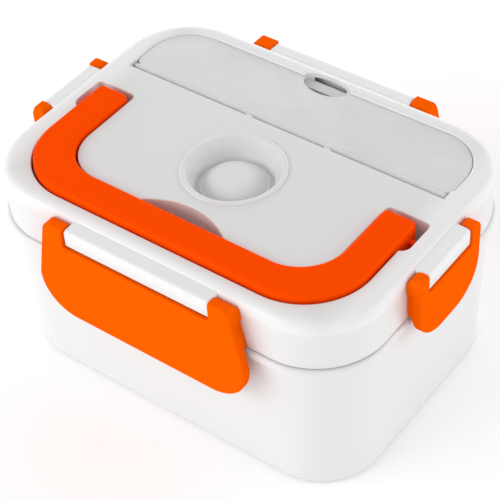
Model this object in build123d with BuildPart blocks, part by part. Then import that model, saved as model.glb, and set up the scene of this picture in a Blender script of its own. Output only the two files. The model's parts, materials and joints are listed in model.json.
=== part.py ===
from build123d import *
import os
from math import sin, cos, radians

os.makedirs("parts", exist_ok=True)

# ---------------------------------------------------------------- dimensions (mm)
# lid: rounded rectangle in plan
LID_A, LID_B, LID_R = 105.8, 77.9, 36.5      # half length, half width, corner radius
LID_TOP = 113.2                              # flat top of the lid
LID_BOT = 85.7                               # lower edge of the skirt
LID_EDGE = 5.0                               # rounding of the top edge
LID_WALL = 2.4
# base
BASE_BOT = 1.0
BODY_TOP = 81.5                              # underside of the flange bead
FLANGE_TOP = 85.2
BOT_A, BOT_B, BOT_R = 101.7, 73.2, 31.8      # outline at the bottom
TOP_A, TOP_B, TOP_R = 103.8, 76.8, 34.0      # outline under the flange
FL_A, FL_B, FL_R = 106.7, 79.3, 35.5         # flange bead outline
BASE_WALL = 2.4
RIM_TOP = 90.5                               # upstand inside the lid skirt
UP_A, UP_B, UP_R = 102.7, 74.8, 33.4
# inner tub
TUB_FLOOR = 18.0
TUB_T = 1.2
# container
CON_BOT = 20.0
CON_T = 0.9
CON_FL = 91.7                                # underside of the container flange
# latches
PIV_OFF = 4.3                                # pivot axis outside the lid wall
PIV_Z = 108.0
EAR_R = 3.9
BLOCK_TOP, BLOCK_OUT = 111.3, 2.7            # hinge blocks: top, and front face outside the pivot
PLATE_T = 2.4
PLATE_TOP = 100.9                            # upper edge of the plate between the ears
HOOK_TOP = 81.2
FRONT_EAR, SIDE_EAR = 42.2, 18.4             # inner faces of the ears
PIN_R = 1.6
# handle
H_OUT_X, H_IN_X = 92.7, 75.5
H_OUT_Y, H_IN_Y = 68.4, 51.2
H_RO, H_RI = 34.0, 24.0
H_TOP, H_BOT = 116.4, 107.2
H_END = 4.6
H_PIV_Y, H_PIV_Z = -1.5, 108.0
H_PIN_R = 1.6
H_EYE_Z = 103.0                              # underside of the deep arm ends
PKT_X0, PKT_X1, PKT_Y0, PKT_Y1 = 74.4, 97.5, -13.6, 8.9   # pockets round the arm ends
# vent
VENT_Y = -9.3
# utensil cover
COV_A, COV_Y0, COV_Y1, COV_R = 93.4, 31.6, 68.2, 23.0
COV_BOT, COV_TOP = 110.4, 112.0
COV_AX_Y, COV_AX_Z, COV_BAR = 30.6, 110.3, 1.8


def rr(a, b, r, mode=Mode.ADD):
    # rounded rectangle by half sizes
    return RectangleRounded(2 * a, 2 * b, r, mode=mode)


def save(bp, name):
    bp.part.label = name
    export_step(bp.part, f"parts/{name}.step")
    print(name, round(bp.part.volume, 1))


# ================================================================= base shell
with BuildPart() as base_shell:
    with BuildSketch(Plane.XY.offset(BASE_BOT)):
        rr(BOT_A, BOT_B, BOT_R)
    with BuildSketch(Plane.XY.offset(BODY_TOP)):
        rr(TOP_A, TOP_B, TOP_R)
    loft()
    fillet(base_shell.faces().sort_by(Axis.Z)[0].edges(), 1.2)
    # flange bead with rounded edges
    with BuildSketch(Plane.XY.offset(BODY_TOP)):
        rr(FL_A, FL_B, FL_R)
    extrude(amount=FLANGE_TOP - BODY_TOP)
    fillet(base_shell.faces().sort_by(Axis.Z)[-1].outer_wire().edges(), 1.6)
    # upstand inside the lid skirt
    with BuildSketch(Plane.XY.offset(FLANGE_TOP)):
        rr(UP_A, UP_B, UP_R)
    extrude(amount=RIM_TOP - FLANGE_TOP)
    # inside
    with BuildSketch(Plane.XY.offset(5.4)):
        rr(BOT_A - BASE_WALL, BOT_B - BASE_WALL, BOT_R - BASE_WALL)
    with BuildSketch(Plane.XY.offset(BODY_TOP)):
        rr(TOP_A - BASE_WALL - 0.4, TOP_B - BASE_WALL - 0.4, TOP_R - BASE_WALL)
    loft(mode=Mode.SUBTRACT)
    with BuildSketch(Plane.XY.offset(BODY_TOP - 1)):
        rr(UP_A - 1.9, UP_B - 1.9, UP_R - 1.9)
    extrude(amount=20, mode=Mode.SUBTRACT)
    # bottom opening: a recess for the cover and a ledge above it
    with BuildSketch(Plane.XY.offset(BASE_BOT - 1)):
        rr(95.0, 66.0, 27.0)
    extrude(amount=3.4, mode=Mode.SUBTRACT)
    with BuildSketch(Plane.XY.offset(3.0)):
        rr(91.0, 62.0, 25.0)
    extrude(amount=4.0, mode=Mode.SUBTRACT)
    # screw bosses in the corners
    with BuildSketch(Plane.XY.offset(3.4)):
        with Locations((82, 53), (-82, 53), (82, -53), (-82, -53)):
            Circle(4.5)
    extrude(amount=12.6)
    with BuildSketch(Plane.XY.offset(3.0)):
        with Locations((82, 53), (-82, 53), (82, -53), (-82, -53)):
            Circle(1.3)
    extrude(amount=10.0, mode=Mode.SUBTRACT)
    # opening for the power inlet in the back wall
    with BuildSketch(Plane.XZ.offset(-80)):
        with Locations((-40, 11.2)):
            RectangleRounded(24.4, 12.4, 3.0)
    extrude(amount=24, mode=Mode.SUBTRACT)
    # shallow seat for its bezel
    with BuildSketch(Plane.XZ.offset(-80)):
        with Locations((-40, 11.2)):
            RectangleRounded(27.4, 14.0, 3.8)
    extrude(amount=7.0, mode=Mode.SUBTRACT)
save(base_shell, "base_shell")

# ================================================================= bottom cover
with BuildPart() as bottom_cover:
    with BuildSketch(Plane.XY.offset(1.2)):
        rr(94.8, 65.8, 26.8)
    extrude(amount=2.2)
    with BuildSketch(Plane.XY.offset(1.2)):
        with Locations((82, 53), (-82, 53), (82, -53), (-82, -53)):
            Circle(1.7)
    extrude(amount=3, mode=Mode.SUBTRACT)
    with BuildSketch(Plane.XY.offset(1.2)):
        with Locations((82, 53), (-82, 53), (82, -53), (-82, -53)):
            Circle(3.2)
    extrude(amount=1.2, mode=Mode.SUBTRACT)
    with BuildSketch(Plane.XY.offset(1.2)):
        with Locations((64, 46), (-64, 46), (64, -46), (-64, -46)):
            Circle(7.0)
    extrude(amount=0.6, mode=Mode.SUBTRACT)
    # ventilation slots under the heater
    with BuildSketch(Plane.XY.offset(1.0)):
        with Locations((-18, 0), (-12, 0), (-6, 0), (0, 0), (6, 0), (12, 0), (18, 0)):
            SlotOverall(30, 2.4, rotation=90)
    extrude(amount=3, mode=Mode.SUBTRACT)
save(bottom_cover, "bottom_cover")

with BuildPart() as bottom_cover_screws:
    with BuildSketch(Plane.XY.offset(1.3)):
        with Locations((82, 53), (-82, 53), (82, -53), (-82, -53)):
            Circle(2.9)
    extrude(amount=1.1)
    with BuildSketch(Plane.XY.offset(2.4)):
        with Locations((82, 53), (-82, 53), (82, -53), (-82, -53)):
            Circle(1.28)
    extrude(amount=9.2)
    # cross recess in each head
    with BuildSketch(Plane.XY.offset(1.3)):
        with Locations((82, 53), (-82, 53), (82, -53), (-82, -53)):
            Rectangle(3.2, 0.7)
            Rectangle(0.7, 3.2)
    extrude(amount=0.8, mode=Mode.SUBTRACT)
save(bottom_cover_screws, "bottom_cover_screws")

with BuildPart() as rubber_feet:
    with BuildSketch(Plane.XY.offset(0)):
        with Locations((64, 46), (-64, 46), (64, -46), (-64, -46)):
            Circle(6.8)
    extrude(amount=1.8)
    fillet(rubber_feet.faces().filter_by(Axis.Z).group_by(Axis.Z)[0].edges(), 0.5)
save(rubber_feet, "rubber_feet")

# ================================================================= heating tub
def tub_sec(z, off):
    t = (z - TUB_FLOOR) / (RIM_TOP - TUB_FLOOR)
    return (97.4 + 3.0 * t - off, 69.0 + 3.5 * t - off, 28.4 + 2.7 * t - off)


with BuildPart() as heating_tub:
    with BuildSketch(Plane.XY.offset(TUB_FLOOR)):
        rr(*tub_sec(TUB_FLOOR, 0))
    with BuildSketch(Plane.XY.offset(RIM_TOP)):
        rr(*tub_sec(RIM_TOP, 0))
    loft()
    fillet(heating_tub.faces().sort_by(Axis.Z)[0].edges(), 4.0)
    with BuildSketch(Plane.XY.offset(RIM_TOP)):
        rr(UP_A, UP_B, UP_R)
    extrude(amount=TUB_T)
    with BuildSketch(Plane.XY.offset(TUB_FLOOR + TUB_T)):
        rr(*tub_sec(TUB_FLOOR + TUB_T, TUB_T))
    with BuildSketch(Plane.XY.offset(RIM_TOP + TUB_T)):
        rr(*tub_sec(RIM_TOP + TUB_T, TUB_T))
    loft(mode=Mode.SUBTRACT)
    # window for the heater plate
    with BuildSketch(Plane.XY.offset(TUB_FLOOR - 1)):
        RectangleRounded(92, 62, 6)
    extrude(amount=4, mode=Mode.SUBTRACT)
save(heating_tub, "heating_tub")

with BuildPart() as heater_plate:
    with BuildSketch(Plane.XY.offset(15.4)):
        RectangleRounded(100, 70, 7)
    extrude(amount=1.2)
    with BuildSketch(Plane.XY.offset(16.6)):
        RectangleRounded(91, 61, 5.5)
    extrude(amount=3.1)
    fillet(heater_plate.faces().sort_by(Axis.Z)[-1].edges(), 0.6)
    with BuildSketch(Plane.XY.offset(15.0)):
        with Locations((-40, 0), (40, 0)):
            Circle(1.25)
    extrude(amount=3.4, mode=Mode.SUBTRACT)
save(heater_plate, "heater_plate")

with BuildPart() as heater_seal:
    with BuildSketch(Plane.XY.offset(16.6)):
        RectangleRounded(98, 68, 6.5)
        RectangleRounded(91.6, 61.6, 5.8, mode=Mode.SUBTRACT)
    extrude(amount=1.4)
save(heater_seal, "heater_seal")

with BuildPart() as ptc_element:
    with BuildSketch(Plane.XY.offset(11.4)):
        RectangleRounded(60, 20, 1.5)
    extrude(amount=4.0)
    # terminal tabs
    with BuildSketch(Plane.XY.offset(12.8)):
        with Locations((22, 13.0), (22, -13.0)):
            Rectangle(4.8, 6.2)
    extrude(amount=0.8)
save(ptc_element, "ptc_element")

with BuildPart() as ptc_clamp:
    with BuildSketch(Plane.XZ.offset(-7)):
        with BuildLine():
            Polyline((-44, 15.4), (-35, 15.4), (-33, 11.4), (33, 11.4), (35, 15.4), (44, 15.4),
                     (44, 14.4), (35.9, 14.4), (33.9, 10.4), (-33.9, 10.4), (-35.9, 14.4), (-44, 14.4), close=True)
        make_face()
    extrude(amount=14)
    with BuildSketch(Plane.XY.offset(10)):
        with Locations((-40, 0), (40, 0)):
            Circle(1.6)
    extrude(amount=8, mode=Mode.SUBTRACT)
save(ptc_clamp, "ptc_clamp")

with BuildPart() as clamp_screws:
    with BuildSketch(Plane.XY.offset(12.4)):
        with Locations((-40, 0), (40, 0)):
            Circle(2.8)
    extrude(amount=2.0)
    with BuildSketch(Plane.XY.offset(14.4)):
        with Locations((-40, 0), (40, 0)):
            Circle(1.22)
    extrude(amount=3.8)
    with BuildSketch(Plane.XY.offset(12.4)):
        with Locations((-40, 0), (40, 0)):
            Rectangle(3.4, 0.7)
            Rectangle(0.7, 3.4)
    extrude(amount=0.9, mode=Mode.SUBTRACT)
save(clamp_screws, "clamp_screws")

with BuildPart() as thermostat:
    with BuildSketch(Plane.XY.offset(8.4)):
        with Locations((0, 24)):
            Circle(7.5)
    extrude(amount=7.0)
    with BuildSketch(Plane.XY.offset(10.2)):
        with Locations((-9.5, 24), (9.5, 24)):
            Rectangle(5.0, 4.8)
    extrude(amount=0.8)
save(thermostat, "thermostat")

with BuildPart() as thermal_fuse:
    with BuildSketch(Plane.YZ.offset(24)):
        with Locations((-25, 13.3)):
            Circle(2.1)
    extrude(amount=12)
    with BuildSketch(Plane.YZ.offset(35.5)):
        with Locations((-25, 13.3)):
            Circle(0.5)
    extrude(amount=6.5)
    # the other lead bends towards the heater terminal
    with BuildLine() as lead:
        FilletPolyline((24.5, -25, 13.3), (20.6, -25, 13.3), (20.6, -16.3, 13.3), radius=1.5)
    with BuildSketch(Plane(origin=lead.line @ 0, z_dir=lead.line % 0)):
        Circle(0.5)
    sweep(path=lead.line)
save(thermal_fuse, "thermal_fuse")

# ---- power inlet in the back wall
with BuildPart() as power_inlet:
    with BuildSketch(Plane.XZ.offset(-74.3)):
        with Locations((-40, 11.2)):
            RectangleRounded(27.0, 13.6, 3.6)
    extrude(amount=1.25)
    fillet(power_inlet.faces().sort_by(Axis.Y)[-1].edges(), 0.4)
    with BuildSketch(Plane.XZ.offset(-73.6)):
        with Locations((-40, 11.2)):
            RectangleRounded(24.0, 12.0, 2.8)
    extrude(amount=17.1)
    # socket with the outline of a figure-of-eight plug
    with BuildSketch(Plane.XZ.offset(-75)):
        with Locations((-44.2, 11.2), (-35.8, 11.2)):
            Circle(4.6)
        with Locations((-40, 11.2)):
            Rectangle(8.4, 8.2)
    extrude(amount=12.6, mode=Mode.SUBTRACT)
    with BuildSketch(Plane.XZ.offset(-75)):
        with Locations((-44.2, 11.2), (-35.8, 11.2)):
            Circle(1.2)
    extrude(amount=30, mode=Mode.SUBTRACT)
save(power_inlet, "power_inlet")

with BuildPart() as inlet_pins:
    with BuildSketch(Plane.XZ.offset(-71.4)):
        with Locations((-44.2, 11.2), (-35.8, 11.2)):
            Circle(1.2)
    extrude(amount=18.9)
save(inlet_pins, "inlet_pins")


# ---- inner wires: straight runs joined by arcs
def wire(name, pts, radii):
    with BuildPart() as w:
        with BuildLine() as path:
            FilletPolyline(*pts, radius=radii)
        with BuildSketch(Plane(origin=path.line @ 0, z_dir=path.line % 0)):
            Circle(0.8)
        sweep()
    save(w, name)


wire("wire_live", [(-44.2, 52.5, 11.2), (-44.2, 38, 11.2), (-26, 24, 9.6), (-12, 24, 9.4)], 6)
wire("wire_link", [(12.0, 24, 9.4), (34, 24, 9.0), (54, 8, 8.6), (54, -25, 9.2), (43.0, -25, 12.6)], 5)
wire("wire_neutral", [(-35.8, 52.4, 11.2), (-35.8, 46, 11.2), (-30, 39, 5.6), (2, 36, 5.4), (22, 33, 5.4), (22, 19, 5.4), (22, 15.2, 11.6)], 3)

# ================================================================= food container
def con_sec(z, off):
    t = (z - CON_BOT) / (CON_FL - CON_BOT)
    return (95.2 + 3.2 * t - off, 66.8 + 3.7 * t - off, 26.4 + 2.8 * t - off)


with BuildPart() as con_inner:
    with BuildSketch(Plane.XY.offset(CON_BOT + CON_T)):
        rr(*con_sec(CON_BOT + CON_T, CON_T))
    with BuildSketch(Plane.XY.offset(CON_FL + 1.5)):
        rr(*con_sec(CON_FL + 1.5, CON_T))
    loft()
    fillet(con_inner.faces().sort_by(Axis.Z)[0].edges(), 5.2)

with BuildPart() as food_container:
    with BuildSketch(Plane.XY.offset(CON_BOT)):
        rr(*con_sec(CON_BOT, 0))
    with BuildSketch(Plane.XY.offset(CON_FL)):
        rr(*con_sec(CON_FL, 0))
    loft()
    fillet(food_container.faces().sort_by(Axis.Z)[0].edges(), 6.0)
    with BuildSketch(Plane.XY.offset(CON_FL)):
        rr(102.5, 74.6, 33.2)
    extrude(amount=1.0)
    add(con_inner.part, mode=Mode.SUBTRACT)
save(food_container, "food_container")

# ================================================================= side tray
TRAY_X0 = 36.0
with BuildPart() as tray_void:
    with BuildSketch(Plane.XY.offset(51.2)) as tray_in:
        rr(93.4, 65.1, 25.2)
        with Locations((TRAY_X0 + 1.2 - 100, 0)):
            Rectangle(200, 200, mode=Mode.SUBTRACT)
        fillet(tray_in.vertices().group_by(Axis.X)[0], 7.8)
    extrude(amount=60)
    fillet(tray_void.faces().sort_by(Axis.Z)[0].edges(), 4.0)

with BuildPart() as side_tray:
    with BuildSketch(Plane.XY.offset(50)) as tray_out:
        rr(94.6, 66.3, 26.4)
        with Locations((TRAY_X0 - 100, 0)):
            Rectangle(200, 200, mode=Mode.SUBTRACT)
        fillet(tray_out.vertices().group_by(Axis.X)[0], 9.0)
    extrude(amount=42.7)
    fillet(side_tray.faces().sort_by(Axis.Z)[0].edges(), 5.0)
    with BuildSketch(Plane.XY.offset(92.7)) as tray_fl:
        rr(99.2, 71.3, 30.0)
        with Locations((TRAY_X0 - 2.2 - 100, 0)):
            Rectangle(200, 200, mode=Mode.SUBTRACT)
        fillet(tray_fl.vertices().group_by(Axis.X)[0], 5.0)
    extrude(amount=0.9)
    add(tray_void.part, mode=Mode.SUBTRACT)
save(side_tray, "side_tray")

# ================================================================= lid
PX, PY = LID_A + PIV_OFF, LID_B + PIV_OFF     # pivot lines of the latches


def handle_plan(off):
    # U-shaped plan of the handle, grown by off
    a, b = H_OUT_X + off, H_IN_X - off
    yo, yi = -(H_OUT_Y + off), -(H_IN_Y - off)
    ye = H_END + off
    ro, ri, re = H_RO + off, H_RI - off, 2.6 + off
    xm = (a + b) / 2
    with BuildLine() as outline:
        FilletPolyline((-xm, ye), (-b, ye), (-b, yi), (b, yi), (b, ye), (xm, ye), radius=[re, ri, ri, re])
        FilletPolyline((xm, ye), (a, ye), (a, yo), (-a, yo), (-a, ye), (-xm, ye), radius=[re, ro, ro, re])
    make_face(outline.edges())


def cover_plan(off):
    # outline of the utensil cover, grown by off
    a, y0, y1, r = COV_A + off, COV_Y0 - off, COV_Y1 + off, COV_R + off
    with BuildLine() as outline:
        FilletPolyline((0, y0), (-a, y0), (-a, y1), (0, y1), radius=[4.5 + off, r])
        FilletPolyline((0, y1), (a, y1), (a, y0), (0, y0), radius=[r, 4.5 + off])
    make_face(outline.edges())


def hinge_block(wall, off, half):
    # block on the front wall of the lid; off is the distance of the pivot line from the centre
    with BuildPart() as hb:
        with BuildSketch(Plane.YZ.offset(-half)):
            with BuildLine():
                FilletPolyline((-(wall - 1.5), BLOCK_TOP), (-(off + BLOCK_OUT), BLOCK_TOP), (-(off + BLOCK_OUT), 101.8),
                               (-(wall - 1.5), 99.6), radius=[1.8, 1.5])
                Line((-(wall - 1.5), 99.6), (-(wall - 1.5), BLOCK_TOP))
            make_face()
        extrude(amount=2 * half)
        fillet(hb.faces().sort_by(Axis.X)[0].edges() + hb.faces().sort_by(Axis.X)[-1].edges(), 1.1)
    return hb.part


block_f = hinge_block(LID_B, LID_B + PIV_OFF, FRONT_EAR - 0.4)
block_s = hinge_block(LID_A, LID_A + PIV_OFF, SIDE_EAR - 0.4)


with BuildPart() as lid_shell:
    with BuildSketch(Plane.XY.offset(LID_BOT)):
        rr(LID_A, LID_B, LID_R)
    extrude(amount=LID_TOP - LID_BOT)
    fillet(lid_shell.faces().sort_by(Axis.Z)[-1].edges(), LID_EDGE)
    fillet(lid_shell.faces().sort_by(Axis.Z)[0].edges(), 0.8)
    # hinge blocks between the latch ears
    add(block_f)
    add(block_f.rotate(Axis.Z, 180))
    add(block_s.rotate(Axis.Z, 90))
    add(block_s.rotate(Axis.Z, -90))
    # pin holes at both ends of each block
    with BuildSketch(Plane.YZ.offset(-(FRONT_EAR + 1))):
        with Locations((PY, PIV_Z), (-PY, PIV_Z)):
            Circle(PIN_R + 0.05)
    extrude(amount=6.2, mode=Mode.SUBTRACT)
    with BuildSketch(Plane.YZ.offset(FRONT_EAR + 1)):
        with Locations((PY, PIV_Z), (-PY, PIV_Z)):
            Circle(PIN_R + 0.05)
    extrude(amount=-6.2, mode=Mode.SUBTRACT)
    with BuildSketch(Plane.XZ.offset(-(SIDE_EAR + 1))):
        with Locations((PX, PIV_Z), (-PX, PIV_Z)):
            Circle(PIN_R + 0.05)
    extrude(amount=6.2, mode=Mode.SUBTRACT)
    with BuildSketch(Plane.XZ.offset(SIDE_EAR + 1)):
        with Locations((PX, PIV_Z), (-PX, PIV_Z)):
            Circle(PIN_R + 0.05)
    extrude(amount=-6.2, mode=Mode.SUBTRACT)
    # hollow from below
    with BuildSketch(Plane.XY.offset(LID_BOT - 1)):
        rr(LID_A - LID_WALL, LID_B - LID_WALL, LID_R - LID_WALL)
    extrude(amount=110.8 - LID_BOT + 1, mode=Mode.SUBTRACT)
    # walls of the sunk features, added under the top
    with BuildSketch(Plane.XY.offset(103.1)):
        handle_plan(2.9)
    extrude(amount=8.5)
    with BuildSketch(Plane.XY.offset(98.0)):
        for sx in (1, -1):
            with Locations((sx * (PKT_X0 + PKT_X1 + 2.4) / 2, (PKT_Y0 + PKT_Y1) / 2)):
                RectangleRounded(PKT_X1 - PKT_X0 + 6.0, PKT_Y1 - PKT_Y0 + 3.6, 3.0)
    extrude(amount=13.5)
    with BuildSketch(Plane.XY.offset(98.6)):
        with BuildLine():
            Line((-38, -60), (38, -60))
            ThreePointArc((38, -60), (0, -39.0), (-38, -60))
        make_face()
    extrude(amount=13.0)
    with BuildSketch(Plane.XY.offset(99.6)):
        with Locations((0, VENT_Y)):
            Circle(26.6)
    extrude(amount=12.0)
    with BuildSketch(Plane.XY.offset(98.2)):
        cover_plan(3.2)
    extrude(amount=13.2)
    # raised vent ring
    with BuildSketch(Plane.XY.offset(LID_TOP - 0.4)):
        with Locations((0, VENT_Y)):
            Circle(25.9)
    extrude(amount=1.5)
    fillet(lid_shell.faces().sort_by(Axis.Z)[-1].edges(), 1.0)
    # handle channel
    with BuildSketch(Plane.XY.offset(105.0)):
        handle_plan(1.1)
    extrude(amount=12, mode=Mode.SUBTRACT)
    # deep pockets round the arm ends, with room for the tails
    with BuildSketch(Plane.XY.offset(99.4)):
        for sx in (1, -1):
            with BuildLine():
                FilletPolyline((sx * PKT_X0, PKT_Y0), (sx * PKT_X0, PKT_Y1), (sx * PKT_X1, PKT_Y1), (sx * PKT_X1, PKT_Y0),
                               (sx * (PKT_X0 + 2), PKT_Y0), radius=[3.0, 2.4, 5.5])
                Line((sx * (PKT_X0 + 2), PKT_Y0), (sx * PKT_X0, PKT_Y0))
            make_face()
    extrude(amount=15, mode=Mode.SUBTRACT)
    # finger recess on the inner side of the front bar
    with BuildSketch(Plane.XY.offset(100.4)):
        with BuildLine():
            Line((-34, -62), (34, -62))
            ThreePointArc((34, -62), (0, -41.2), (-34, -62))
        make_face()
    extrude(amount=15, mode=Mode.SUBTRACT)
    # vent well, a shallow cone with a seat at the bottom
    with BuildSketch(Plane.XY.offset(LID_TOP + 1.1)):
        with Locations((0, VENT_Y)):
            Circle(23.4)
    with BuildSketch(Plane.XY.offset(102.4)):
        with Locations((0, VENT_Y)):
            Circle(18.4)
    loft(mode=Mode.SUBTRACT)
    fillet(lid_shell.edges().filter_by(GeomType.CIRCLE).filter_by_position(Axis.Z, LID_TOP + 1.09, LID_TOP + 1.11).sort_by(SortBy.RADIUS)[0], 0.9)
    with BuildSketch(Plane.XY.offset(90.0)):
        with Locations((0, VENT_Y)):
            Circle(9.0)
    extrude(amount=15, mode=Mode.SUBTRACT)
    # utensil compartment, with the ledge that carries the clear cover
    with BuildSketch(Plane.XY.offset(COV_BOT - 0.1)):
        cover_plan(0.4)
    extrude(amount=5, mode=Mode.SUBTRACT)
    fillet([e for e in lid_shell.edges().filter_by_position(Axis.Z, LID_TOP - 0.01, LID_TOP + 0.01)
            if e.bounding_box().min.Y > COV_Y0 - 0.6 and e.bounding_box().max.Y < COV_Y1 + 0.6], 1.5)
    with BuildSketch(Plane.XY.offset(99.8)):
        with BuildLine():
            FilletPolyline((-90.6, 35.6), (-90.6, 65.4), (90.6, 65.4), (90.6, 35.6), radius=20.4)
            Line((90.6, 35.6), (-90.6, 35.6))
        make_face()
    extrude(amount=15, mode=Mode.SUBTRACT)
    # groove for the hinge bar of the cover, crossed by two narrow ribs in front of the bar
    with BuildSketch(Plane.YZ.offset(-93.2)):
        with Locations((30.2, 112.6)):
            Rectangle(7.6, 9.4)
    extrude(amount=2 * 93.2, mode=Mode.SUBTRACT)
    with BuildSketch(Plane.XY.offset(107.2)):
        with Locations((-18.0, 27.15), (28.0, 27.15)):
            Rectangle(3.4, 1.9)
    extrude(amount=LID_TOP - 0.5 - 107.2)
    for sx in (1, -1):
        with BuildSketch(Plane.YZ.offset(sx * 90.0)):
            with Locations((COV_AX_Y, COV_AX_Z)):
                Circle(1.05)
        extrude(amount=sx * 6.2, mode=Mode.SUBTRACT)
        # sockets for the handle pivots
        with BuildSketch(Plane.YZ.offset(sx * (PKT_X1 - 2))):
            with Locations((H_PIV_Y, H_PIV_Z)):
                Circle(H_PIN_R + 0.05)
        extrude(amount=sx * 5.4, mode=Mode.SUBTRACT)
    # finger dip at the back of the compartment
    with BuildSketch(Plane.XY.offset(108.6)):
        with Locations((0, 66.6)):
            Ellipse(14.5, 6.4)
    extrude(amount=6, mode=Mode.SUBTRACT)
    # small rounding along the channel, the pockets and the finger recess
    sunk = [e for e in lid_shell.edges().filter_by_position(Axis.Z, LID_TOP - 0.01, LID_TOP + 0.01)
            if e.bounding_box().max.Y < 12 and e.bounding_box().min.Y > -71
            and e.bounding_box().max.X < 99 and e.bounding_box().min.X > -99
            and not (e.geom_type == GeomType.CIRCLE and abs(e.radius - 25.9) < 0.2)]
    fillet(sunk, 0.5)
save(lid_shell, "lid_shell")

# ================================================================= lid liner and seal
with BuildPart() as lid_liner:
    with BuildSketch(Plane.XY.offset(96.0)):
        rr(103.1, 75.2, 33.8)
    extrude(amount=1.8)
    with BuildSketch(Plane.XY.offset(93.0)):
        rr(103.1, 75.2, 33.8)
        rr(102.2, 74.3, 32.9, mode=Mode.SUBTRACT)
    extrude(amount=3.0)
    with BuildSketch(Plane.XY.offset(93.9)):
        rr(99.9, 72.0, 30.6)
        rr(98.5, 70.6, 29.2, mode=Mode.SUBTRACT)
    extrude(amount=2.1)
    with BuildSketch(Plane.XY.offset(90)):
        with Locations((0, VENT_Y)):
            Circle(9.0)
    extrude(amount=12, mode=Mode.SUBTRACT)
save(lid_liner, "lid_liner")

with BuildPart() as lid_seal:
    with BuildSketch(Plane.XY.offset(92.75)):
        rr(102.2, 74.3, 32.9)
        rr(99.9, 72.0, 30.6, mode=Mode.SUBTRACT)
    extrude(amount=3.25)
save(lid_seal, "lid_seal")

# ================================================================= handle
with BuildPart() as handle:
    with BuildSketch(Plane.XY.offset(H_EYE_Z)):
        handle_plan(0.0)
    extrude(amount=H_TOP - H_EYE_Z)
    fillet(handle.faces().sort_by(Axis.Z)[-1].edges(), 2.3)
    # underside: shallow along the bar and the arms, deep at the arm ends, rounded behind
    with BuildSketch(Plane.YZ.offset(-100)):
        with BuildLine():
            FilletPolyline((-80.0, H_BOT), (-14.6, H_BOT), (-11.0, H_EYE_Z), (-8.0, H_EYE_Z), radius=[3.0, 2.0])
            Polyline((-8.0, H_EYE_Z), (-8.0, H_EYE_Z - 3), (-80.0, H_EYE_Z - 3), (-80.0, H_BOT))
        make_face()
        with BuildLine():
            Line((H_END + 1, H_EYE_Z + 4.5), (H_END, H_EYE_Z + 4.5))
            ThreePointArc((H_END, H_EYE_Z + 4.5), (H_END - 4.5 * (1 - cos(radians(45))), H_EYE_Z + 4.5 * (1 - sin(radians(45)))), (H_END - 4.5, H_EYE_Z))
            Polyline((H_END - 4.5, H_EYE_Z), (H_END - 4.5, H_EYE_Z - 1), (H_END + 1, H_EYE_Z - 1), (H_END + 1, H_EYE_Z + 4.5))
        make_face()
    extrude(amount=200, mode=Mode.SUBTRACT)
    # stub pins
    for sx in (1, -1):
        with BuildSketch(Plane.YZ.offset(sx * (H_OUT_X - 1.0))):
            with Locations((H_PIV_Y, H_PIV_Z)):
                Circle(H_PIN_R)
        extrude(amount=sx * (PKT_X1 + 2.8 - H_OUT_X + 1.0))
save(handle, "handle")


# ================================================================= latches
# half widths at the pivot and below, lower edge and its corner radius, outer face outside the pivot, half length of the lip
LATCH_FRONT = dict(top=53.9, low=60.4, zlow=55.4, rlow=20.0, ear=FRONT_EAR, out=4.2, lip=49.0)
LATCH_SIDE = dict(top=25.9, low=25.6, zlow=71.2, rlow=19.5, ear=SIDE_EAR, out=3.7, lip=15.0)


def latch_plan(d, inset, mode=Mode.ADD):
    # outline of a latch seen from outside
    low, zl, rl = d["low"] - inset, d["zlow"] + inset, d["rlow"] - inset
    zt, zk = PIV_Z + EAR_R - inset, d["zlow"] + d["rlow"] + 2
    top = d["top"] - (d["low"] - d["top"]) * EAR_R / (PIV_Z - zk) - inset
    with BuildLine() as outline:
        FilletPolyline((0, zt), (-top, zt), (-low, zk), (-low, zl), (0, zl), radius=[4.5 - inset, 12, rl])
        FilletPolyline((0, zl), (low, zl), (low, zk), (top, zt), (0, zt), radius=[rl, 12, 4.5 - inset])
    make_face(outline.edges(), mode=mode)


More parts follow.
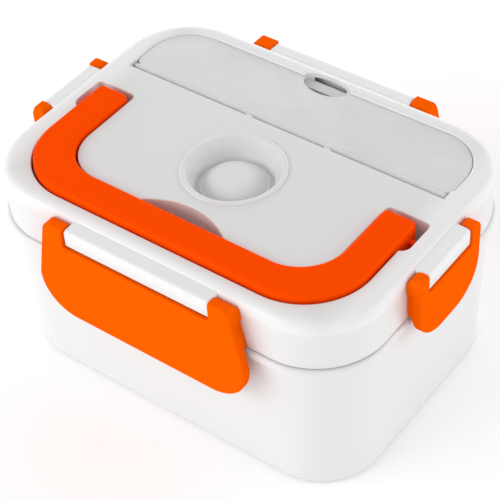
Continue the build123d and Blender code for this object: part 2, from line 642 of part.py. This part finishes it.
def make_latch(d, off, tip):
    # drawn as the front latch; off is the distance of its pivot line, tip that of the hook tip
    y_out = -(off + d["out"])
    y_in = y_out + PLATE_T
    y_back = -(off - EAR_R)
    y_rim = y_out + 4.5
    zl, ear = d["zlow"], d["ear"]
    with BuildPart() as lt:
        with BuildSketch(Plane.XZ.offset(-y_back)):
            latch_plan(d, 0.0)
        extrude(amount=y_back - y_out)
        fillet(lt.faces().sort_by(Axis.Y)[0].edges(), 1.3)
        # side profile: round eye at the top, deep upper rim, shallower lower rim
        with BuildSketch(Plane.YZ.offset(-80)):
            with BuildLine():
                Polyline((y_back, PIV_Z), (y_back, 87.2), (y_rim, 87.2), (y_rim, 83.0), (y_rim - 1.2, zl + 4.0),
                         (y_rim - 1.2, zl - 1), (y_out - 0.1, zl - 1), (y_out - 0.1, PIV_Z + EAR_R - 2.3))
                ThreePointArc((y_out - 0.1, PIV_Z + EAR_R - 2.3), (y_out - 0.1 + 2.3 * (1 - cos(radians(45))), PIV_Z + EAR_R - 2.3 * (1 - sin(radians(45)))), (y_out + 2.2, PIV_Z + EAR_R))
                Line((y_out + 2.2, PIV_Z + EAR_R), (-off, PIV_Z + EAR_R))
                ThreePointArc((-off, PIV_Z + EAR_R), (-off + EAR_R * cos(radians(45)), PIV_Z + EAR_R * sin(radians(45))), (y_back, PIV_Z))
            make_face()
        extrude(amount=160, mode=Mode.INTERSECT)
        # below the ears the part behind the rim is set in
        with BuildSketch(Plane.XZ.offset(-y_rim)):
            Rectangle(160, 2 * 103.0)
            latch_plan(d, 1.3, Mode.SUBTRACT)
        extrude(amount=-10, mode=Mode.SUBTRACT)
        # hollow behind the plate, below the ears
        with BuildSketch(Plane.XZ.offset(-y_in)):
            latch_plan(d, 2.9)
            with Locations((ear + 100, 139 + PLATE_TOP), (-ear - 100, 139 + PLATE_TOP)):
                Rectangle(200, 280, mode=Mode.SUBTRACT)
        extrude(amount=-20, mode=Mode.SUBTRACT)
        # gap between the ears for the hinge block
        with BuildSketch(Plane.XZ.offset(-y_out + 5)):
            with Locations((0, PLATE_TOP + 15)):
                RectangleRounded(2 * ear, 30, 2.0)
        extrude(amount=-30, mode=Mode.SUBTRACT)
        fillet(lt.edges().filter_by_position(Axis.Z, PLATE_TOP - 0.01, PLATE_TOP + 0.01).sort_by(Axis.Y)[0], 0.8)
        # hook lip beside the flange bead
        with BuildSketch(Plane.YZ.offset(-d["lip"])):
            with BuildLine():
                Polyline((y_in - 0.5, HOOK_TOP), (-tip, HOOK_TOP), (-tip, HOOK_TOP - 0.8), (y_in - 0.5, HOOK_TOP - 3.2), close=True)
            make_face()
        extrude(amount=2 * d["lip"])
        # stub pins
        for sx in (1, -1):
            with BuildSketch(Plane.YZ.offset(sx * (ear + 0.5))):
                with Locations((-off, PIV_Z)):
                    Circle(PIN_R)
            extrude(amount=-sx * 4.6)
    return lt


lf = make_latch(LATCH_FRONT, PY, FL_B + 0.3)
ls = make_latch(LATCH_SIDE, PX, FL_A + 0.3)

with BuildPart() as latch_front:
    add(lf.part)
save(latch_front, "latch_front")
with BuildPart() as latch_back:
    add(lf.part.rotate(Axis.Z, 180))
save(latch_back, "latch_back")
with BuildPart() as latch_right:
    add(ls.part.rotate(Axis.Z, 90))
save(latch_right, "latch_right")
with BuildPart() as latch_left:
    add(ls.part.rotate(Axis.Z, -90))
save(latch_left, "latch_left")

# ================================================================= utensil cover
with BuildPart() as utensil_cover:
    with BuildSketch(Plane.XY.offset(COV_BOT)):
        cover_plan(0.0)
        with Locations((0, COV_Y1 + 0.2)):
            Ellipse(13.0, 8.0, mode=Mode.SUBTRACT)
    extrude(amount=COV_TOP - COV_BOT)
    with BuildSketch(Plane.YZ.offset(-91.6)):
        with Locations((COV_AX_Y, COV_AX_Z)):
            Circle(COV_BAR)
    extrude(amount=2 * 91.6)
    with BuildSketch(Plane.YZ.offset(-95.6)):
        with Locations((COV_AX_Y, COV_AX_Z)):
            Circle(1.0)
    extrude(amount=2 * 95.6)
save(utensil_cover, "utensil_cover")

# ================================================================= vent plug
with BuildPart() as vent_plug:
    with BuildSketch(Plane.XZ.offset(-VENT_Y)):
        with BuildLine():
            Polyline((0, 97.0), (6.4, 97.0), (8.6, 99.2), (7.2, 99.5), (7.2, 102.45), (16.8, 102.45), (16.8, 103.8), (15.4, 104.2))
            ThreePointArc((15.4, 104.2), (11.6, 108.3), (5.0, 109.6))
            Polyline((5.0, 109.6), (0, 109.7), (0, 97.0))
        make_face()
    revolve(axis=Axis((0, VENT_Y, 0), (0, 0, 1)), revolution_arc=360)
save(vent_plug, "vent_plug")

# ================================================================= spoon
with BuildPart() as spoon:
    with BuildSketch(Plane.XY.offset(101.0)):
        with Locations((58, 52.0)):
            Ellipse(23.0, 11.6)
        with BuildLine():
            Polyline((40, 56.0), (40, 48.0), (10, 49.4), (-40, 48.2), (-84, 46.8), (-84, 57.2), (-40, 55.8), (10, 54.6), close=True)
        make_face()
    extrude(amount=2.6)
    fillet(spoon.edges().filter_by(GeomType.LINE).filter_by(Axis.Z).group_by(Axis.X)[0], 4.5)
    # hollow of the bowl
    with BuildSketch(Plane.XZ.offset(-52.0)):
        with BuildLine():
            Line((76.5, 103.6), (76.5, 131.0))
            Line((76.5, 131.0), (39.5, 131.0))
            Line((39.5, 131.0), (39.5, 103.6))
            ThreePointArc((39.5, 103.6), (58.0, 101.9), (76.5, 103.6))
        make_face()
    revolve(axis=Axis((0, 52.0, 131.0), (1, 0, 0)), revolution_arc=360, mode=Mode.SUBTRACT)
save(spoon, "spoon")
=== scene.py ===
import json
import math

import bpy
import bmesh
from mathutils import Matrix, Vector

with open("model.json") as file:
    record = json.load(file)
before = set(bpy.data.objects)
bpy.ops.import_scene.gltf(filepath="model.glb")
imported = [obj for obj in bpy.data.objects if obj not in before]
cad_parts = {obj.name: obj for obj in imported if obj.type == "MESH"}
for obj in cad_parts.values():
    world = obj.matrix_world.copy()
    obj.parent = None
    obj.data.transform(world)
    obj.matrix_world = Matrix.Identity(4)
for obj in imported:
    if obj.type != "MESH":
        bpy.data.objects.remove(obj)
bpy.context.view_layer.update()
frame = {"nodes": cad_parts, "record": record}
NODES = frame["nodes"]
scene = bpy.context.scene


# ------------------------------------------------------------------ node helpers
def new_material(name):
    m = bpy.data.materials.new(name)
    m.use_nodes = True
    nt = m.node_tree
    nt.nodes.clear()
    out = nt.nodes.new("ShaderNodeOutputMaterial")
    p = nt.nodes.new("ShaderNodeBsdfPrincipled")
    nt.links.new(p.outputs["BSDF"], out.inputs["Surface"])
    return m, nt, p


def obj_coords(nt, scale=(1, 1, 1), rot=(0, 0, 0)):
    t = nt.nodes.new("ShaderNodeTexCoord")
    mp = nt.nodes.new("ShaderNodeMapping")
    mp.inputs["Scale"].default_value = scale
    mp.inputs["Rotation"].default_value = rot
    nt.links.new(t.outputs["Object"], mp.inputs["Vector"])
    return mp.outputs["Vector"]


def noise(nt, vec, scale, detail=3.0, rough=0.5, distortion=0.0):
    n = nt.nodes.new("ShaderNodeTexNoise")
    n.inputs["Scale"].default_value = scale
    n.inputs["Detail"].default_value = detail
    n.inputs["Roughness"].default_value = rough
    n.inputs["Distortion"].default_value = distortion
    nt.links.new(vec, n.inputs["Vector"])
    return n.outputs["Fac"]


def ramp(nt, fac, stops):
    r = nt.nodes.new("ShaderNodeValToRGB")
    r.color_ramp.elements[0].position = stops[0][0]
    r.color_ramp.elements[0].color = stops[0][1]
    r.color_ramp.elements[1].position = stops[-1][0]
    r.color_ramp.elements[1].color = stops[-1][1]
    for pos, col in stops[1:-1]:
        e = r.color_ramp.elements.new(pos)
        e.color = col
    nt.links.new(fac, r.inputs["Fac"])
    return r.outputs["Color"]


def map_range(nt, v, a, b, c, d):
    m = nt.nodes.new("ShaderNodeMapRange")
    m.inputs["From Min"].default_value = a
    m.inputs["From Max"].default_value = b
    m.inputs["To Min"].default_value = c
    m.inputs["To Max"].default_value = d
    nt.links.new(v, m.inputs["Value"])
    return m.outputs["Result"]


def math_node(nt, op, a, b):
    m = nt.nodes.new("ShaderNodeMath")
    m.operation = op
    for i, v in enumerate((a, b)):
        if isinstance(v, (int, float)):
            m.inputs[i].default_value = v
        else:
            nt.links.new(v, m.inputs[i])
    return m.outputs[0]


def bump(nt, height, distance, strength=1.0, below=None):
    b = nt.nodes.new("ShaderNodeBump")
    b.inputs["Distance"].default_value = distance
    b.inputs["Strength"].default_value = strength
    nt.links.new(height, b.inputs["Height"])
    if below is not None:
        nt.links.new(below, b.inputs["Normal"])
    return b.outputs["Normal"]


def rgb(c, k=1.0):
    return (c[0] * k, c[1] * k, c[2] * k, 1.0)


# ------------------------------------------------------------------ materials
def moulded(name, base, darker, rough, wave=0.00003, grain=0.0, grain_scale=900.0, sss=0.0, sss_radius=(1, 1, 1), sss_scale=0.002, spec=0.5, metal=0.0, edge=None, painted_panel_shade=None):
    # moulded plastic: broad flow marks in tone and gloss, and a faint waviness of the surface
    m, nt, p = new_material(name)
    v = obj_coords(nt)
    broad = noise(nt, v, 14.0, 2.0, 0.45, 0.6)
    flow = noise(nt, obj_coords(nt, (1.0, 3.2, 1.6)), 20.0, 2.0, 0.45, 0.8)
    tone = math_node(nt, "ADD", math_node(nt, "MULTIPLY", broad, 0.6), math_node(nt, "MULTIPLY", flow, 0.4))
    colour = ramp(nt, tone, [(0.0, rgb(darker)), (1.0, rgb(base))])
    # painted shade on the flat top panel and a painted highlight on the rim around it
    if painted_panel_shade:
        colour = paint_top_shade_and_rim_highlight(nt, v, colour, *painted_panel_shade)
    nt.links.new(colour, p.inputs["Base Color"])
    nt.links.new(map_range(nt, flow, 0.0, 1.0, rough - 0.04, rough + 0.04), p.inputs["Roughness"])
    if wave or grain:
        n = bump(nt, broad, wave) if wave else None
        if grain:
            n = bump(nt, noise(nt, v, grain_scale, 2.0, 0.6), grain, 1.0, n)
        nt.links.new(n, p.inputs["Normal"])
    p.inputs["Specular IOR Level"].default_value = spec
    p.inputs["IOR"].default_value = 1.49
    p.inputs["Metallic"].default_value = metal
    if edge:
        p.inputs["Specular Tint"].default_value = rgb(edge)
    if sss:
        p.inputs["Subsurface Weight"].default_value = sss
        p.inputs["Subsurface Radius"].default_value = sss_radius
        p.inputs["Subsurface Scale"].default_value = sss_scale
    return m


def paint_top_shade_and_rim_highlight(nt, v, colour, half_x, half_y, z_from, panel_shade_factor, rim_highlight_factor, soft):
    # painted light: the flat panel within a rectangle of the top is painted slightly darker (painted shade), and the
    # rim around it painted lighter (painted highlight), standing in for how the light falls on the top
    sep_v = nt.nodes.new("ShaderNodeSeparateXYZ")
    nt.links.new(v, sep_v.inputs["Vector"])
    ax = math_node(nt, "SUBTRACT", math_node(nt, "ABSOLUTE", sep_v.outputs["X"], 0.0), half_x)
    ay = math_node(nt, "SUBTRACT", math_node(nt, "ABSOLUTE", sep_v.outputs["Y"], 0.0), half_y)
    out_by = math_node(nt, "MAXIMUM", ax, ay)
    outside = map_range(nt, out_by, -soft, soft, 0.0, 1.0)
    high = map_range(nt, sep_v.outputs["Z"], z_from - 0.002, z_from, 0.0, 1.0)
    # the panel factor darkens the top panel (painted shade), the rim factor lightens the border (painted highlight)
    change = math_node(nt, "SUBTRACT", map_range(nt, outside, 0.0, 1.0, panel_shade_factor, rim_highlight_factor), 1.0)
    k = math_node(nt, "ADD", math_node(nt, "MULTIPLY", change, high), 1.0)
    mix = nt.nodes.new("ShaderNodeVectorMath")
    mix.operation = "SCALE"
    nt.links.new(colour, mix.inputs[0])
    nt.links.new(k, mix.inputs["Scale"])
    return mix.outputs["Vector"]


def brushed(name, base, rough, direction=(1, 60, 60), scale=40.0, aniso=0.5, depth=0.000012):
    # drawn or rolled metal with fine brushing
    m, nt, p = new_material(name)
    v = obj_coords(nt, direction)
    lines = noise(nt, v, scale, 5.0, 0.7)
    broad = noise(nt, obj_coords(nt), 22.0, 2.0)
    p.inputs["Metallic"].default_value = 1.0
    nt.links.new(ramp(nt, lines, [(0.3, rgb(base, 0.90)), (0.7, rgb(base, 1.04))]), p.inputs["Base Color"])
    r = math_node(nt, "ADD", map_range(nt, lines, 0.3, 0.7, rough - 0.06, rough + 0.06), map_range(nt, broad, 0.3, 0.7, -0.03, 0.03))
    nt.links.new(r, p.inputs["Roughness"])
    nt.links.new(bump(nt, lines, depth), p.inputs["Normal"])
    return m


def clear_plastic(name):
    # clear moulded sheet with a faint haze; where it is seen at a flat angle the alpha is raised, so its own
    # reflection grows and its white haze is painted more opaque there, partly a painted reflection
    m, nt, p = new_material(name)
    v = obj_coords(nt)
    haze = noise(nt, v, 30.0, 3.0, 0.5, 0.8)
    fine = noise(nt, v, 900.0, 2.0, 0.5)
    lw = nt.nodes.new("ShaderNodeLayerWeight")
    lw.inputs["Blend"].default_value = 0.22
    nt.links.new(ramp(nt, haze, [(0.0, (0.91, 0.912, 0.913, 1)), (1.0, (0.98, 0.982, 0.983, 1))]), p.inputs["Base Color"])
    # alpha rises at flat viewing angles: partly the sheet's own reflection, partly a painted reflection from the white
    # haze
    a = math_node(nt, "ADD", map_range(nt, lw.outputs["Fresnel"], 0.0, 1.0, 0.66, 1.0), map_range(nt, haze, 0.0, 1.0, -0.06, 0.06))
    nt.links.new(a, p.inputs["Alpha"])
    nt.links.new(map_range(nt, fine, 0.3, 0.7, 0.10, 0.16), p.inputs["Roughness"])
    nt.links.new(bump(nt, haze, 0.0002), p.inputs["Normal"])
    p.inputs["Specular IOR Level"].default_value = 0.35
    p.inputs["IOR"].default_value = 1.50
    return m


MATS = {
    # white_plastic: painted shade on the flat top panel and a painted highlight on the rim around it
    "white_plastic": moulded("white_plastic", (0.773, 0.773, 0.771), (0.768, 0.768, 0.767), 0.33, wave=0.0, painted_panel_shade=(0.0915, 0.0690, 0.1075, 0.935, 1.07, 0.006)),
    "white_plastic_matt": moulded("white_plastic_matt", (0.77, 0.77, 0.765), (0.75, 0.75, 0.745), 0.45, grain=0.00002),
    "orange_plastic": moulded("orange_plastic", (1.0, 0.073, 0.0004), (0.985, 0.070, 0.0004), 0.33, spec=0.004, metal=0.06, edge=(1.0, 0.25, 0.03)),
    # orange_plastic_light is a lighter copy of orange_plastic for the latches: painted light standing in for the
    # stronger light on their faces
    "orange_plastic_light": moulded("orange_plastic_light", (0.97, 0.116, 0.0004), (0.96, 0.112, 0.0004), 0.33, spec=0.0, metal=0.06, edge=(1.0, 0.30, 0.03)),
    "clear_plastic": clear_plastic("clear_plastic"),
    "white_silicone": moulded("white_silicone", (0.745, 0.745, 0.74), (0.735, 0.735, 0.73), 0.34, sss=0.2, sss_scale=0.002),
    "grey_rubber": moulded("grey_rubber", (0.16, 0.16, 0.165), (0.13, 0.13, 0.135), 0.70, grain=0.00004),
    "tray_plastic": moulded("tray_plastic", (0.74, 0.74, 0.72), (0.72, 0.72, 0.70), 0.36, sss=0.1, sss_scale=0.002),
    "stainless_steel": brushed("stainless_steel", (0.66, 0.66, 0.67), 0.26),
    "spring_steel": brushed("spring_steel", (0.50, 0.50, 0.52), 0.32),
    "screw_steel": brushed("screw_steel", (0.55, 0.55, 0.56), 0.35, (20, 20, 20)),
    "aluminium": brushed("aluminium", (0.74, 0.74, 0.75), 0.42),
    "brass": brushed("brass", (0.75, 0.55, 0.22), 0.28),
    "black_plastic": moulded("black_plastic", (0.022, 0.022, 0.023), (0.018, 0.018, 0.019), 0.45, grain=0.00003),
    "fuse_body": moulded("fuse_body", (0.62, 0.58, 0.48), (0.58, 0.54, 0.44), 0.5),
    "wire_insulation": moulded("wire_insulation", (0.30, 0.02, 0.015), (0.25, 0.016, 0.012), 0.42),
}

for sub in frame["record"]["subparts"]:
    o = NODES[sub["node"]]
    mat = MATS[sub["material_slot"]]
    if not o.material_slots:
        o.data.materials.append(mat)
    for s in o.material_slots:
        s.material = mat

# ------------------------------------------------------------------ floor
bm = bmesh.new()
N = 96
R = 7.0
ring = [bm.verts.new((R * math.cos(2 * math.pi * i / N), R * math.sin(2 * math.pi * i / N), 0.0)) for i in range(N)]
bm.faces.new(ring)
me = bpy.data.meshes.new("floor")
bm.to_mesh(me)
bm.free()
floor = bpy.data.objects.new("floor", me)
scene.collection.objects.link(floor)
fm, nt, p = new_material("floor_paper")
v = obj_coords(nt)
grain = noise(nt, v, 700.0, 3.0, 0.6)
nt.links.new(ramp(nt, grain, [(0.3, (0.94, 0.94, 0.94, 1)), (0.7, (0.96, 0.96, 0.96, 1))]), p.inputs["Base Color"])
nt.links.new(map_range(nt, grain, 0.3, 0.7, 0.85, 0.95), p.inputs["Roughness"])
p.inputs["Specular IOR Level"].default_value = 0.1
p.inputs["Emission Color"].default_value = (1, 1, 1, 1)
p.inputs["Emission Strength"].default_value = 0.11
me.materials.append(fm)

# ------------------------------------------------------------------ light
world = bpy.data.worlds.new("studio")
scene.world = world
world.use_nodes = True
wn = world.node_tree
wn.nodes.clear()
wo = wn.nodes.new("ShaderNodeOutputWorld")
bg = wn.nodes.new("ShaderNodeBackground")
tc = wn.nodes.new("ShaderNodeTexCoord")
sep = wn.nodes.new("ShaderNodeSeparateXYZ")
wn.links.new(tc.outputs["Generated"], sep.inputs["Vector"])
cr = wn.nodes.new("ShaderNodeValToRGB")
cr.color_ramp.elements[0].position = 0.0
cr.color_ramp.elements[0].color = (1.20, 1.20, 1.20, 1)
cr.color_ramp.elements[1].position = 0.9
cr.color_ramp.elements[1].color = (0.64, 0.64, 0.643, 1)
wn.links.new(sep.outputs["Z"], cr.inputs["Fac"])
wn.links.new(cr.outputs["Color"], bg.inputs["Color"])
bg.inputs["Strength"].default_value = 0.95
wn.links.new(bg.outputs["Background"], wo.inputs["Surface"])


def softbox(name, loc, target, size, power, colour=(1, 1, 1)):
    d = bpy.data.lights.new(name, "AREA")
    d.shape = "RECTANGLE"
    d.size, d.size_y = size
    d.energy = power
    d.color = colour
    o = bpy.data.objects.new(name, d)
    scene.collection.objects.link(o)
    o.location = loc
    o.rotation_mode = "QUATERNION"
    o.rotation_quaternion = (Vector(target) - Vector(loc)).to_track_quat("-Z", "Y")
    return o


softbox("key_left", (-0.80, -1.15, 0.80), (0, 0, 0.08), (1.2, 0.6), 8.2)
softbox("fill_right", (1.15, 0.65, 0.56), (0, 0, 0.08), (0.9, 0.6), 3.5)
softbox("back_rim", (-0.62, 1.20, 0.30), (0, 0, 0.10), (1.4, 0.4), 3.7)

# ------------------------------------------------------------------ camera
az, el, roll = math.radians(39.04), math.radians(43.82), math.radians(-4.0)
back = Vector((math.sin(az) * math.cos(el), -math.cos(az) * math.cos(el), math.sin(el)))
right = (-back).cross(Vector((0, 0, 1))).normalized()
up = right.cross(-back)
r2 = right * math.cos(roll) + up * math.sin(roll)
u2 = right * -math.sin(roll) + up * math.cos(roll)
eye = Vector((0, 0, 0.046)) + back * 0.81426 + r2 * -0.00128 + u2 * 0.00499
cam_data = bpy.data.cameras.new("camera")
cam = bpy.data.objects.new("camera", cam_data)
scene.collection.objects.link(cam)
cam_data.sensor_width = 36.0
cam_data.lens = 116.74
cam_data.clip_start, cam_data.clip_end = 0.01, 50.0
m = Matrix((
    (r2.x, u2.x, back.x, eye.x),
    (r2.y, u2.y, back.y, eye.y),
    (r2.z, u2.z, back.z, eye.z),
    (0, 0, 0, 1),
))
cam.matrix_world = m
scene.camera = cam

scene.view_settings.view_transform = "Standard"
scene.view_settings.look = "None"
scene.view_settings.exposure = 0.0
scene.view_settings.gamma = 1.0
